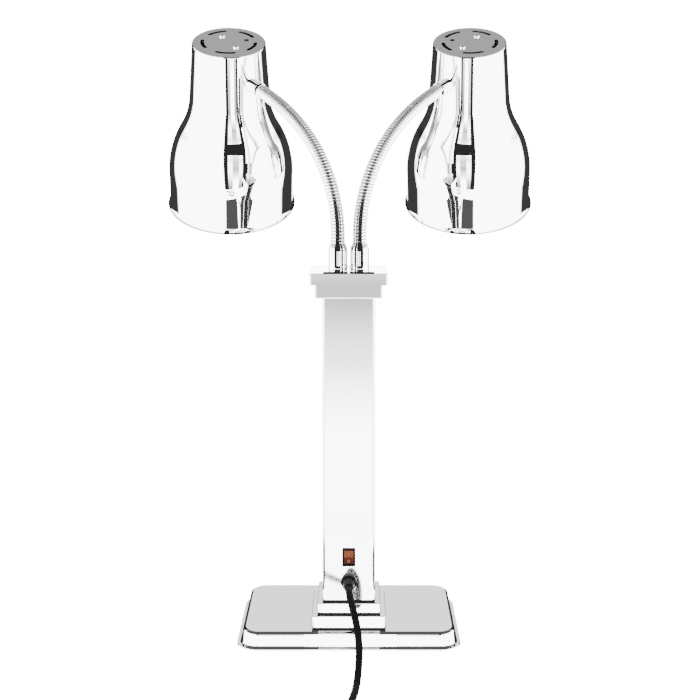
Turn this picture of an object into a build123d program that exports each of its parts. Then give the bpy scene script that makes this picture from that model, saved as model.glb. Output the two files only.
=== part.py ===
"""Twin heat lamp on a weighted base: two bell shades on bendable metal necks.

Millimetres. +Z is up and the column's axis is the Z axis, with Z = 0 where the feet rest.
The switch and the mains cord are on the -Y side, and the shades reach out over +Y.
The left side (-X) is modelled and the right side is its mirror image.
"""

import os
from math import acos, cos, degrees, pi, radians, sin, tan

from build123d import *

os.makedirs("parts", exist_ok=True)

# ---------------------------------------------------------------- driving dimensions
# base
foot_height = 2.0
foot_radius = 10.0
base_top = 21.4
base_offset_y = 25.0
flange_size = (255.0, 164.0)
flange_corner = 25.0
flange_thickness = 2.4
wall_size = (245.0, 154.0)
wall_corner = 21.0
wall_draft = 5.5
sheet = 1.5
weight_size = (226.0, 136.0)
bottom_plate_size = (238.0, 147.0)
bottom_plate_thickness = 1.2

# column and its stepped trim
column_side = 60.0
column_corner = 3.0
column_top = 414.3
trim_fit = 0.2
lower_plinth_side = 84.0
lower_plinth_height = 15.2
upper_plinth_side = 72.0
upper_plinth_height = 12.6
collar_side = 77.0
collar_height = 15.3
cap_side = 88.0
cap_height = 13.2
bolt_radius = 3.0
bolt_reach = 19.0

# switch and cable gland, both on the column's -Y face
switch_height = 101.5
bezel_size = (15.0, 21.0)
bezel_thickness = 2.0
switch_body = (13.0, 19.0)
switch_depth = 13.0
rocker_size = (10.6, 14.4)
rocker_window = (11.4, 16.6)
rocker_tilt = 10.0
gland_height = 72.7
gland_nut_across = 17.0
gland_reach = 20.0
gland_thread_radius = 6.0

# necks
neck_offset = 12.3
neck_radius = 8.0
neck_bore = 4.5
socket_radius = 10.8
socket_height = 29.5
neck_seat = 440.0
neck_straight_top = 466.0
neck_length = 230.4
neck_segments = 6
neck_gap = 3.0
neck_first_bend = 126.5
neck_last_bend = 428.0
neck_azimuth = 47.0

# shades, measured along the shade's own axis from its closed top
shade_length = 226.0
shade_top_radius = 45.0
shade_cone_angle = 4.26
shade_cone_length = 74.0
shade_hollow_bend = 99.0
shade_slope = 29.5
shade_crown_bend = 128.5
shade_wall = 1.0
lip_bend = 8.0
lip_turn = 45.0
lip_edge = 1.0
shade_roll = 16.8
shade_turn = 40.3
ferrule_depth = 39.0
ferrule_length = 17.0
ferrule_radius = 8.7
vent_count = 5
vent_radius = 32.5
vent_width = 4.5
vent_span = 38.0
vent_phase = 52.0
shade_screw_radius = 18.5
shade_screw_angle = 123.0

# lamp, measured along the same axis
holder_top = 10.0
holder_bottom = 52.0
holder_radius = 19.0
cap_radius = 13.0
cap_start = 28.0
bulb_start = 53.0
bulb_end = 193.0
bulb_radius = 63.5
glass = 1.2

# mains cord
cord_radius = 4.0
coil_centre = (-98.0, -294.0)
coil_inner = 35.5
coil_outer = 52.5
coil_height = 25.0
coil_turn_radius = 48.0
tie_width = 12.0
tie_thickness = 1.0
plug_start = 32.0
plug_relief = 22.0
plug_size = (38.0, 27.0, 25.0)

# ---------------------------------------------------------------- helpers
column_half = column_side / 2
column_face = Plane(origin=(0, -column_half, 0), x_dir=(1, 0, 0), z_dir=(0, -1, 0))
column_bore = column_side - 2 * sheet
base_centre = (0, base_offset_y)
cap_base = column_top
cap_top = cap_base + cap_height
collar_base = column_top - collar_height
socket_places = [(-neck_offset, 0), (neck_offset, 0)]


def save(piece, name):
    """Labels a finished piece and writes it to its own file."""
    piece.part.label = name
    export_step(piece.part, f"parts/{name}.step")


def save_pair(piece, name):
    """Writes the left piece and its mirror image."""
    save(piece, f"{name}_left")
    with BuildPart() as twin:
        mirror(piece.part, about=Plane.YZ)
    save(twin, f"{name}_right")


# ---------------------------------------------------------------- base
with BuildPart() as base_cover:
    with BuildSketch(Plane.XY.offset(foot_height)):
        with Locations(base_centre):
            RectangleRounded(*flange_size, flange_corner)
    extrude(amount=flange_thickness)
    fillet(base_cover.edges().group_by(Axis.Z)[-1], 0.8)
    with BuildSketch(Plane.XY.offset(foot_height)):
        with Locations(base_centre):
            RectangleRounded(*wall_size, wall_corner)
    extrude(amount=base_top - foot_height, taper=wall_draft)
    flange_top = foot_height + flange_thickness
    foot_of_wall = base_cover.edges(Select.LAST).filter_by_position(Axis.Z, flange_top, flange_top)
    fillet(foot_of_wall, 2.0)
    fillet(base_cover.faces().sort_by(Axis.Z)[-1].edges(), 4.0)
    with BuildSketch(Plane.XY.offset(foot_height)):
        with Locations(base_centre):
            RectangleRounded(wall_size[0] - 2 * sheet, wall_size[1] - 2 * sheet, wall_corner - sheet)
    extrude(amount=base_top - foot_height - sheet, taper=wall_draft, mode=Mode.SUBTRACT)
    with BuildSketch(Plane.XY.offset(base_top)):
        with GridLocations(2 * bolt_reach, 2 * bolt_reach, 2, 2):
            Circle(bolt_radius + 0.3)
    extrude(amount=-2 * sheet, mode=Mode.SUBTRACT)
save(base_cover, "base_cover")

weight_base = foot_height + bottom_plate_thickness
weight_top = base_top - sheet
bolt_recess = 8.0
bolt_head_height = 4.0
plate_screw_radius = 1.5
plate_screw_places = GridLocations(150, 118, 2, 2).locations + GridLocations(206, 0, 2, 1).locations

with BuildPart() as base_weight:
    with BuildSketch(Plane.XY.offset(weight_base)):
        with Locations(base_centre):
            RectangleRounded(*weight_size, 14)
    extrude(amount=weight_top - weight_base)
    chamfer(base_weight.edges().group_by(Axis.Z)[-1], 3.0)
    with BuildSketch(Plane.XY.offset(weight_base)):
        with GridLocations(2 * bolt_reach, 2 * bolt_reach, 2, 2):
            Circle(7.0)
    extrude(amount=bolt_recess, mode=Mode.SUBTRACT)
    with BuildSketch(Plane.XY.offset(weight_base)):
        with GridLocations(2 * bolt_reach, 2 * bolt_reach, 2, 2):
            Circle(bolt_radius + 0.3)
    extrude(amount=weight_top - weight_base, mode=Mode.SUBTRACT)
    with BuildSketch(Plane.XY.offset(weight_base)):
        with Locations(base_centre):
            with Locations(*plate_screw_places):
                Circle(plate_screw_radius)
    extrude(amount=10.0, mode=Mode.SUBTRACT)
save(base_weight, "base_weight")

with BuildPart() as bottom_plate:
    with BuildSketch(Plane.XY.offset(foot_height)):
        with Locations(base_centre):
            RectangleRounded(*bottom_plate_size, 18)
            with Locations(*plate_screw_places):
                Circle(plate_screw_radius + 0.2, mode=Mode.SUBTRACT)
    extrude(amount=bottom_plate_thickness)
save(bottom_plate, "bottom_plate")

with BuildPart() as bottom_screws:
    with BuildSketch(Plane.XY.offset(foot_height - 1.0)):
        with Locations(base_centre):
            with Locations(*plate_screw_places):
                Circle(2.8)
    extrude(amount=1.0)
    with BuildSketch(Plane.XY.offset(foot_height)):
        with Locations(base_centre):
            with Locations(*plate_screw_places):
                Circle(plate_screw_radius)
    extrude(amount=9.0)
    chamfer(bottom_screws.edges().group_by(Axis.Z)[0], 0.4)
save(bottom_screws, "bottom_screws")

with BuildPart() as rubber_feet:
    with BuildSketch():
        Circle(foot_radius)
        with Locations(base_centre):
            with GridLocations(208, 112, 2, 2):
                Circle(foot_radius)
    extrude(amount=foot_height)
    chamfer(rubber_feet.edges().group_by(Axis.Z)[0], 0.5)
save(rubber_feet, "rubber_feet")


# ---------------------------------------------------------------- column and trim
def stepped_collar(side, low, height):
    """A hollow square step around the column, open below, with a 2 mm top."""
    with BuildPart() as step:
        with BuildSketch(Plane.XY.offset(low)):
            RectangleRounded(side, side, 2.5)
        extrude(amount=height)
        fillet(step.edges().group_by(Axis.Z)[-1], 0.8)
        with BuildSketch(Plane.XY.offset(low)):
            RectangleRounded(side - 2 * sheet, side - 2 * sheet, 1.0)
        extrude(amount=height - 2.0, mode=Mode.SUBTRACT)
        with BuildSketch(Plane.XY.offset(low)):
            RectangleRounded(column_side + 2 * trim_fit, column_side + 2 * trim_fit, column_corner)
        extrude(amount=height, mode=Mode.SUBTRACT)
    return step


lower_plinth_top = base_top + lower_plinth_height
save(stepped_collar(lower_plinth_side, base_top, lower_plinth_height), "lower_plinth")
save(stepped_collar(upper_plinth_side, lower_plinth_top, upper_plinth_height), "upper_plinth")

with BuildPart() as column:
    with BuildSketch(Plane.XY.offset(base_top)):
        RectangleRounded(column_side, column_side, column_corner)
        RectangleRounded(column_bore, column_bore, column_corner - sheet, mode=Mode.SUBTRACT)
    extrude(amount=column_top - base_top)
    with BuildSketch(column_face):
        with Locations((0, switch_height)):
            Rectangle(switch_body[0] + 0.2, switch_body[1] + 0.2)
        with Locations((0, gland_height)):
            Circle(gland_thread_radius + 0.1)
    extrude(amount=-2 * sheet, mode=Mode.SUBTRACT)
save(column, "column")

foot_plate_height = 6.0
with BuildPart() as column_foot:
    with BuildSketch(Plane.XY.offset(base_top)):
        RectangleRounded(column_bore - 0.1, column_bore - 0.1, 1.5)
        with GridLocations(2 * bolt_reach, 2 * bolt_reach, 2, 2):
            Circle(bolt_radius, mode=Mode.SUBTRACT)
    extrude(amount=foot_plate_height)
save(column_foot, "column_foot")

bolt_seat = weight_base + bolt_recess
with BuildPart() as column_bolts:
    with BuildSketch(Plane.XY.offset(bolt_seat - bolt_head_height)):
        with GridLocations(2 * bolt_reach, 2 * bolt_reach, 2, 2):
            RegularPolygon(5.0, 6, major_radius=False)
    extrude(amount=bolt_head_height)
    with BuildSketch(Plane.XY.offset(bolt_seat)):
        with GridLocations(2 * bolt_reach, 2 * bolt_reach, 2, 2):
            Circle(bolt_radius)
    extrude(amount=base_top + foot_plate_height + 1.0 - bolt_seat)
save(column_bolts, "column_bolts")

with BuildPart() as cap_collar:
    with BuildSketch(Plane.XY.offset(collar_base)):
        RectangleRounded(collar_side, collar_side, 2.5)
    extrude(amount=collar_height)
    fillet(cap_collar.edges().group_by(Axis.Z)[0], 0.8)
    with BuildSketch(Plane.XY.offset(collar_base + sheet)):
        RectangleRounded(collar_side - 2 * sheet, collar_side - 2 * sheet, 1.0)
    extrude(amount=collar_height, mode=Mode.SUBTRACT)
    with BuildSketch(Plane.XY.offset(collar_base)):
        RectangleRounded(column_side + 2 * trim_fit, column_side + 2 * trim_fit, column_corner)
    extrude(amount=collar_height, mode=Mode.SUBTRACT)
save(cap_collar, "cap_collar")

with BuildPart() as cap_plate:
    with BuildSketch(Plane.XY.offset(cap_base)):
        RectangleRounded(cap_side, cap_side, 2.5)
    extrude(amount=cap_height)
    fillet(cap_plate.edges().group_by(Axis.Z)[-1], 1.0)
    with BuildSketch(Plane.XY.offset(cap_base + sheet)):
        RectangleRounded(cap_side - 2 * sheet, cap_side - 2 * sheet, 1.0)
    extrude(amount=cap_height - 2.0 - sheet, mode=Mode.SUBTRACT)
    with BuildSketch(Plane.XY.offset(cap_base)):
        RectangleRounded(column_side, column_side, column_corner)
    extrude(amount=sheet, mode=Mode.SUBTRACT)
    with BuildSketch(Plane.XY.offset(cap_base)):
        with Locations(*socket_places):
            Circle(5.1)
    extrude(amount=cap_height, mode=Mode.SUBTRACT)
save(cap_plate, "cap_plate")

bracket_base = 404.0
bracket_thickness = 3.0
nipple_radius = 5.0
nipple_bottom = 396.0
with BuildPart() as cap_bracket:
    with BuildSketch(Plane.XY.offset(bracket_base)):
        RectangleRounded(column_bore - 0.1, column_bore - 0.1, 1.5)
        with Locations(*socket_places):
            Circle(nipple_radius + 0.1, mode=Mode.SUBTRACT)
    extrude(amount=bracket_thickness)
save(cap_bracket, "cap_bracket")

with BuildPart() as socket_nuts:
    with BuildSketch(Plane.XY.offset(bracket_base - 5.0)):
        with Locations(*socket_places):
            RegularPolygon(7.0, 6, major_radius=False)
            Circle(nipple_radius, mode=Mode.SUBTRACT)
    extrude(amount=5.0)
save(socket_nuts, "socket_nuts")

socket_axis = Plane(origin=(-neck_offset, 0, 0), x_dir=(1, 0, 0), z_dir=(0, -1, 0))
socket_top = cap_top + socket_height
with BuildPart() as neck_socket:
    with BuildSketch(socket_axis):
        with BuildLine():
            Polyline(
                (neck_bore - 1, nipple_bottom),
                (nipple_radius, nipple_bottom),
                (nipple_radius, cap_top),
                (socket_radius - 0.6, cap_top),
                (socket_radius, cap_top + 0.6),
                (socket_radius, socket_top - 8),
            )
            RadiusArc((socket_radius, socket_top - 8), (neck_radius + 0.7, socket_top), -16)
            Polyline(
                (neck_radius + 0.7, socket_top),
                (neck_radius + 0.05, socket_top),
                (neck_radius + 0.05, neck_seat),
                (neck_bore - 1, neck_seat),
                (neck_bore - 1, nipple_bottom),
            )
        make_face()
    revolve(axis=Axis((-neck_offset, 0, 0), (0, 0, 1)))
save_pair(neck_socket, "neck_socket")

# ---------------------------------------------------------------- bendable necks
# Each neck rises straight, then leans over in one upright plane as a chain of tangent arcs
# that open out from neck_first_bend to neck_last_bend. Each arc is one link of the neck.
outward = Vector(-cos(radians(neck_azimuth)), sin(radians(neck_azimuth)), 0)
upward = Vector(0, 0, 1)
hinge_line = outward.cross(upward)
link_length = neck_length / neck_segments


def heading(lean):
    """The neck's direction when it leans over by this many degrees from upright."""
    return outward * sin(radians(lean)) + upward * cos(radians(lean))


def link_curvature(index):
    """Curvature of one link, running evenly from the first bend to the last."""
    share = (index + 0.5) / neck_segments
    return (1 - share) / neck_first_bend + share / neck_last_bend


link_ends = [(Vector(-neck_offset, 0, neck_straight_top), 0.0)]
for index in range(neck_segments):
    point, lean = link_ends[-1]
    curvature = link_curvature(index)
    next_lean = lean + degrees(link_length * curvature)
    centre = point + heading(lean + 90) * (1 / curvature)
    link_ends.append((centre - heading(next_lean + 90) * (1 / curvature), next_lean))

for index in range(neck_segments):
    point, lean = link_ends[index]
    curvature = link_curvature(index)
    centre = point + heading(lean + 90) * (1 / curvature)
    start_trim = degrees(neck_gap / 2 * curvature) if index > 0 else 0.0
    end_trim = degrees(neck_gap / 2 * curvature) if index < neck_segments - 1 else 0.0
    start_lean = lean + start_trim
    start = centre - heading(start_lean + 90) * (1 / curvature)
    sweep_angle = link_ends[index + 1][1] - end_trim - start_lean
    with BuildPart() as link:
        with BuildSketch(Plane(origin=start, x_dir=hinge_line, z_dir=heading(start_lean))):
            Circle(neck_radius)
            Circle(neck_bore, mode=Mode.SUBTRACT)
        revolve(axis=Axis(centre, hinge_line * -1), revolution_arc=sweep_angle)
        if index == 0:
            with BuildSketch(Plane.XY.offset(neck_seat)):
                with Locations((-neck_offset, 0)):
                    Circle(neck_radius)
                    Circle(neck_bore, mode=Mode.SUBTRACT)
            extrude(amount=neck_straight_top - neck_seat)
    save_pair(link, f"neck_link_{index + 1}")
    if index > 0:
        print("joint", index, "at", [round(v, 3) for v in point], "lean", round(lean, 3))

# ---------------------------------------------------------------- head frame
# The ferrule carries on in the neck's last direction and meets the shade square to its axis.
# The head's own frame has its origin in the middle of the shade's top and +Z along its axis.
neck_end, end_lean = link_ends[-1]
reach = heading(end_lean)
upright = heading(end_lean - 90)
side_on = upright.cross(reach)
shade_axis = upright * cos(radians(shade_roll)) + side_on * sin(radians(shade_roll))
wall_at_ferrule = shade_top_radius + ferrule_depth * tan(radians(shade_cone_angle))
wall_contact = neck_end + reach * ferrule_length
shade_origin = wall_contact + reach * wall_at_ferrule + shade_axis * ferrule_depth
toward_neck = reach * -1
head_x = toward_neck * sin(radians(shade_turn)) + shade_axis.cross(toward_neck) * cos(radians(shade_turn))
head = Plane(origin=shade_origin, x_dir=head_x, z_dir=shade_axis)
head_line = Axis(shade_origin, shade_axis)
head_section = Plane(origin=shade_origin, x_dir=head_x, z_dir=head_x.cross(shade_axis))
ferrule_plane = Plane(origin=neck_end, x_dir=shade_axis, z_dir=reach)
print("shade top centre", [round(v, 2) for v in shade_origin])
print("shade axis", [round(v, 4) for v in shade_axis], "head x", [round(v, 4) for v in head_x])


def shade_outline(inset):
    """Half section of the bell from its axis to its lip, moved inwards by inset."""
    cone = radians(shade_cone_angle)
    slope = shade_slope - shade_cone_angle
    start = (shade_top_radius + inset * tan(cone) - inset / cos(cone), -inset)
    straight = shade_cone_length / cos(cone) - inset / cos(cone) + inset * tan(cone)
    Line((0, -inset), start)
    wall = PolarLine(start, straight, shade_cone_angle - 90)
    hollow = JernArc(wall @ 1, wall % 1, shade_hollow_bend + inset, slope)
    crown = JernArc(hollow @ 1, hollow % 1, shade_crown_bend - inset, -shade_slope)
    lip_turned = lip_bend * sin(radians(lip_turn)) + lip_edge * cos(radians(lip_turn))
    skirt = Line(crown @ 1, ((crown @ 1).X, lip_turned - shade_length))
    curl = JernArc(skirt @ 1, skirt % 1, lip_bend + inset, lip_turn)
    edge = PolarLine(curl @ 1, lip_edge + 3 * inset, lip_turn - 90)
    Polyline(edge @ 1, (0, (edge @ 1).Y), (0, -inset))


def vent_outline(middle):
    """An arc-shaped slot with round ends, its middle at this angle round the shade's top."""
    first = middle - vent_span / 2
    last = middle + vent_span / 2
    first_end = (vent_radius * cos(radians(first)), vent_radius * sin(radians(first)))
    last_end = (vent_radius * cos(radians(last)), vent_radius * sin(radians(last)))
    CenterArc((0, 0), vent_radius + vent_width / 2, first, vent_span)
    CenterArc(last_end, vent_width / 2, last, 180)
    CenterArc((0, 0), vent_radius - vent_width / 2, first, vent_span)
    CenterArc(first_end, vent_width / 2, first + 180, 180)


with BuildPart() as shade:
    with BuildSketch(head_section):
        with BuildLine():
            shade_outline(0)
        make_face()
    revolve(axis=head_line)
    fillet(shade.faces().sort_by(head_line)[-1].edges(), 2.0)
    with BuildSketch(head_section):
        with BuildLine():
            shade_outline(shade_wall)
        make_face()
    revolve(axis=head_line, mode=Mode.SUBTRACT)
    with BuildSketch(head):
        for vent in range(vent_count):
            with BuildLine():
                vent_outline(vent_phase + 360 / vent_count * vent)
            make_face()
        with PolarLocations(22, 1, start_angle=20):
            Circle(3.0)
        with PolarLocations(shade_screw_radius, 2, start_angle=shade_screw_angle):
            Circle(2.2)
    extrude(amount=-2 * shade_wall, mode=Mode.SUBTRACT)
    with BuildSketch(ferrule_plane):
        Circle(nipple_radius + 0.1)
    extrude(amount=ferrule_length + 4, mode=Mode.SUBTRACT)
save_pair(shade, "shade")

# ---------------------------------------------------------------- ferrule and lamp holder
spigot_length = 8.0
nipple_reach = ferrule_length + 12.0
with BuildPart() as ferrule:
    with BuildSketch(ferrule_plane):
        Circle(ferrule_radius)
    extrude(amount=ferrule_length + 1.2)
    with BuildSketch(head_section):
        with BuildLine():
            shade_outline(0)
        make_face()
    revolve(axis=head_line, mode=Mode.SUBTRACT)
    with BuildSketch(ferrule_plane):
        Circle(nipple_radius)
    extrude(amount=nipple_reach)
    with BuildSketch(ferrule_plane.offset(-spigot_length)):
        Circle(neck_bore - 0.2)
    extrude(amount=spigot_length)
    with BuildSketch(ferrule_plane.offset(-spigot_length)):
        Circle(3.2)
    extrude(amount=spigot_length + nipple_reach, mode=Mode.SUBTRACT)
save_pair(ferrule, "ferrule")

with BuildPart() as ferrule_nut:
    with BuildSketch(ferrule_plane.offset(ferrule_length + shade_wall + 1.4)):
        RegularPolygon(8.0, 6, major_radius=False)
        Circle(nipple_radius, mode=Mode.SUBTRACT)
    extrude(amount=4.0)
save_pair(ferrule_nut, "ferrule_nut")

strap_thickness = 1.5
with BuildPart() as holder_bracket:
    with BuildSketch(head.offset(-shade_wall)):
        with Locations(Rotation(0, 0, shade_screw_angle)):
            SlotOverall(48, 14)
        with PolarLocations(shade_screw_radius, 2, start_angle=shade_screw_angle):
            Circle(2.0, mode=Mode.SUBTRACT)
    extrude(amount=-strap_thickness)
    with BuildSketch(head.offset(-shade_wall - strap_thickness)):
        Circle(nipple_radius)
    extrude(amount=shade_wall + strap_thickness - holder_top)
save_pair(holder_bracket, "holder_bracket")

with BuildPart() as shade_screws:
    with BuildSketch(head):
        with PolarLocations(shade_screw_radius, 2, start_angle=shade_screw_angle):
            Circle(4.0)
    extrude(amount=2.6)
    fillet(shade_screws.edges().group_by(head_line)[-1], 1.6)
    with BuildSketch(head):
        with PolarLocations(shade_screw_radius, 2, start_angle=shade_screw_angle):
            Circle(2.0)
    extrude(amount=-6.0)
save_pair(shade_screws, "shade_screws")

with BuildPart() as lamp_holder:
    with BuildSketch(head.offset(-holder_top)):
        Circle(holder_radius)
    extrude(amount=holder_top - holder_bottom)
    fillet(lamp_holder.edges().group_by(head_line)[-1], 5.0)
    chamfer(lamp_holder.edges().group_by(head_line)[0], 1.5)
    with BuildSketch(head.offset(-holder_bottom)):
        Circle(cap_radius + 0.6)
    extrude(amount=holder_bottom - cap_start + 3, mode=Mode.SUBTRACT)
save_pair(lamp_holder, "lamp_holder")

with BuildPart() as bulb_cap:
    with BuildSketch(head_section):
        with BuildLine():
            Polyline(
                (0, -cap_start),
                (4.0, -cap_start),
                (6.0, 2 - cap_start),
                (10.0, -cap_start - 2),
                (cap_radius, -cap_start - 5),
                (cap_radius, -bulb_start),
                (cap_radius - 1, -bulb_start),
                (cap_radius - 1, -cap_start - 6),
                (0, -cap_start - 4),
                (0, -cap_start),
            )
        make_face()
    revolve(axis=head_line)
save_pair(bulb_cap, "bulb_cap")


def bulb_outline(inset):
    """Half section of the reflector bulb: a round neck that flares to a shallow domed face."""
    neck = cap_radius - 0.1 - inset
    throat = (21.0 - inset, -bulb_start - 20)
    waist = (24.0 - inset, -bulb_start - 40)
    shoulder = (bulb_radius - inset, -bulb_end + 38)
    Spline(
        (neck, -bulb_start),
        throat,
        waist,
        ((waist[0] + shoulder[0]) / 2 + 3, -bulb_start - 68),
        shoulder,
        tangents=[(0.35, -1), (0, -1)],
    )
    face_edge = (bulb_radius - 9 - inset, inset - bulb_end + 9)
    Spline(shoulder, face_edge, (0, inset - bulb_end), tangents=[(0, -1), (-1, 0)])
    Polyline((0, inset - bulb_end), (0, -bulb_start), (neck, -bulb_start))


with BuildPart() as bulb_glass:
    with BuildSketch(head_section):
        with BuildLine():
            bulb_outline(0)
        make_face()
    revolve(axis=head_line)
    with BuildSketch(head_section):
        with BuildLine():
            bulb_outline(glass)
        make_face()
    revolve(axis=head_line, mode=Mode.SUBTRACT)
save_pair(bulb_glass, "bulb_glass")

# ---------------------------------------------------------------- switch
bezel_face = column_face.offset(bezel_thickness)
pivot_inset = 3.6
rocker_pivot = Vector(0, -column_half - bezel_thickness + pivot_inset, switch_height)
tilt = radians(rocker_tilt)
rocker_section = Plane(origin=rocker_pivot, x_dir=(0, cos(tilt), -sin(tilt)), z_dir=(1, 0, 0))
stub_radius = 1.2

with BuildPart() as switch_housing:
    with BuildSketch(column_face):
        with Locations((0, switch_height)):
            RectangleRounded(*bezel_size, 1.0)
    extrude(amount=bezel_thickness)
    chamfer(switch_housing.edges().group_by(Axis.Y)[0], 0.5)
    with BuildSketch(column_face):
        with Locations((0, switch_height)):
            Rectangle(*switch_body)
    extrude(amount=-switch_depth)
    with BuildSketch(bezel_face):
        with Locations((0, switch_height)):
            Rectangle(*rocker_window)
    extrude(amount=-9.0, mode=Mode.SUBTRACT)
    with BuildSketch(rocker_section.offset(-switch_body[0] / 2)):
        Circle(stub_radius + 0.05)
    extrude(amount=switch_body[0], mode=Mode.SUBTRACT)
save(switch_housing, "switch_housing")

rocker_half = rocker_size[1] / 2
with BuildPart() as rocker:
    with BuildSketch(rocker_section.offset(-rocker_size[0] / 2)):
        with BuildLine():
            Polyline((-3.4, 0), (-4.8, rocker_half), (-1.5, rocker_half), (2.0, 3.0))
            Polyline((2.0, 3.0), (2.0, -3.0), (-1.5, -rocker_half), (-4.8, -rocker_half), (-3.4, 0))
        make_face()
    extrude(amount=rocker_size[0])
    with BuildSketch(rocker_section.offset(-6.2)):
        Circle(stub_radius)
    extrude(amount=12.4)
save(rocker, "rocker")

with BuildPart() as switch_tabs:
    with BuildSketch(column_face.offset(-switch_depth)):
        with Locations((0, switch_height - 6), (0, switch_height), (0, switch_height + 6)):
            Rectangle(4.8, 0.8)
    extrude(amount=-7.0)
save(switch_tabs, "switch_tabs")

# ---------------------------------------------------------------- cable gland and wiring
with BuildPart() as cable_gland:
    with BuildSketch(column_face):
        with Locations((0, gland_height)):
            RegularPolygon(gland_nut_across / 2, 8, major_radius=False)
    extrude(amount=5.0)
    chamfer(cable_gland.edges().group_by(Axis.Y)[0], 1.2)
    with BuildSketch(column_face.offset(5.0)):
        with Locations((0, gland_height)):
            Circle(6.8)
    extrude(amount=gland_reach - 5.0, taper=6.0)
    with BuildSketch(column_face):
        with Locations((0, gland_height)):
            Circle(gland_thread_radius)
    extrude(amount=-10.0)
    with BuildSketch(column_face.offset(-10.0)):
        with Locations((0, gland_height)):
            Circle(cord_radius)
    extrude(amount=10.0 + gland_reach, mode=Mode.SUBTRACT)
save(cable_gland, "cable_gland")

with BuildPart() as gland_nut:
    with BuildSketch(column_face.offset(-sheet)):
        with Locations((0, gland_height)):
            RegularPolygon(8.0, 6, major_radius=False)
            Circle(gland_thread_radius, mode=Mode.SUBTRACT)
    extrude(amount=-4.0)
save(gland_nut, "gland_nut")

block_height = 160.0
block_plane = Plane(origin=(0, column_bore / 2, 0), x_dir=(1, 0, 0), z_dir=(0, -1, 0))
with BuildPart() as terminal_block:
    with BuildSketch(block_plane):
        with Locations((0, block_height)):
            RectangleRounded(34, 22, 1.5)
    extrude(amount=14.0)
    with BuildSketch(block_plane.offset(14.0)):
        with Locations((0, block_height)):
            with GridLocations(11, 12, 3, 2):
                Circle(2.2)
    extrude(amount=-4.0, mode=Mode.SUBTRACT)
save(terminal_block, "terminal_block")

with BuildPart() as earth_stud:
    with BuildSketch(block_plane):
        with Locations((17, block_height - 35)):
            RegularPolygon(4.0, 6, major_radius=False)
    extrude(amount=3.0)
    with BuildSketch(block_plane.offset(3.0)):
        with Locations((17, block_height - 35)):
            Circle(2.0)
    extrude(amount=6.0)
save(earth_stud, "earth_stud")

lead_radius = 2.4
lead_y = column_bore / 2 - 7.0
block_top = block_height + 11.0
block_bottom = block_height - 11.0
with BuildPart() as lamp_leads:
    for side in (-1, 1):
        with BuildLine() as lead_path:
            FilletPolyline(
                (side * 8, lead_y, block_top),
                (side * 8, lead_y, block_top + 30),
                (side * neck_offset, 0, block_top + 80),
                (side * neck_offset, 0, neck_seat),
                radius=20,
            )
        with BuildSketch(Plane(origin=lead_path.line @ 0, z_dir=lead_path.line % 0)):
            Circle(lead_radius)
        sweep(path=lead_path.line)
save(lamp_leads, "lamp_leads")

with BuildPart() as supply_lead:
    with BuildLine() as supply_path:
        FilletPolyline(
            (0, 10 - column_half, gland_height),
            (0, 30 - column_half, gland_height),
            (0, lead_y, gland_height + 30),
            (0, lead_y, block_bottom),
            radius=12,
        )
    with BuildSketch(Plane(origin=supply_path.line @ 0, z_dir=supply_path.line % 0)):
        Circle(lead_radius + 0.8)
    sweep(path=supply_path.line)
save(supply_lead, "supply_lead")

# ---------------------------------------------------------------- mains cord
cord_exit = (0, -column_half - gland_reach, gland_height)
cord_route = [
    cord_exit,
    (0.5, -68.0, 72.0),
    (4.5, -87.0, 64.0),
    (9.5, -101.0, 48.5),
    (12.0, -112.0, 29.5),
    (11.0, -126.0, 13.0),
    (9.0, -146.0, 4.5),
    (6.5, -168.0, 4.0),
    (2.0, -191.0, 4.0),
    (-9.0, -213.0, 4.0),
    (-26.0, -231.0, 4.0),
    (-41.0, -250.0, 4.0),
    (-49.0, -272.0, 4.0),
]


def bend_radii(points):
    """The largest arcs that the runs on each side of every inner point leave room for."""
    radii = []
    for before, here, after in zip(points, points[1:], points[2:]):
        arriving = Vector(*here) - Vector(*before)
        leaving = Vector(*after) - Vector(*here)
        turn = acos(arriving.dot(leaving) / arriving.length / leaving.length)
        radii.append(0.45 * min(arriving.length, leaving.length) / tan(turn / 2))
    return radii


cord_bends = bend_radii(cord_route)
print("cord bend radii", [round(r) for r in cord_bends])

with BuildPart() as mains_cord:
    with BuildLine() as cord_path:
        FilletPolyline(*cord_route, radius=cord_bends)
    with BuildSketch(Plane(origin=cord_path.line @ 0, z_dir=cord_path.line % 0)):
        Circle(cord_radius)
    sweep(path=cord_path.line)
section_area = pi * cord_radius**2
tube_length = cord_path.wire().length
print("cord tube length", round(tube_length, 1))
print("tube volume over section times length", round(mains_cord.part.volume / section_area / tube_length, 4))
save(mains_cord, "mains_cord")

coil_middle = (coil_inner + coil_outer) / 2
tie_size = (coil_outer - coil_inner + 2 * tie_thickness + 1.6, coil_height + tie_thickness)
with BuildPart() as cord_coil:
    with BuildSketch():
        with Locations(coil_centre):
            Circle(coil_outer)
            Circle(coil_inner, mode=Mode.SUBTRACT)
    extrude(amount=coil_height)
    with BuildSketch():
        with Locations((coil_centre[0] - coil_middle, coil_centre[1])):
            Rectangle(tie_size[0], tie_width)
    extrude(amount=tie_thickness, mode=Mode.SUBTRACT)
save(cord_coil, "cord_coil")

tie_plane = Plane(
    origin=(coil_centre[0] - coil_middle, coil_centre[1] + tie_width / 2, tie_size[1] / 2),
    x_dir=(1, 0, 0),
    z_dir=(0, -1, 0),
)
with BuildPart() as cord_tie:
    with BuildSketch(tie_plane):
        RectangleRounded(*tie_size, 2.0)
        Rectangle(tie_size[0] - 2 * tie_thickness, tie_size[1] - 2 * tie_thickness, mode=Mode.SUBTRACT)
    extrude(amount=tie_width)
save(cord_tie, "cord_tie")

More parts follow.
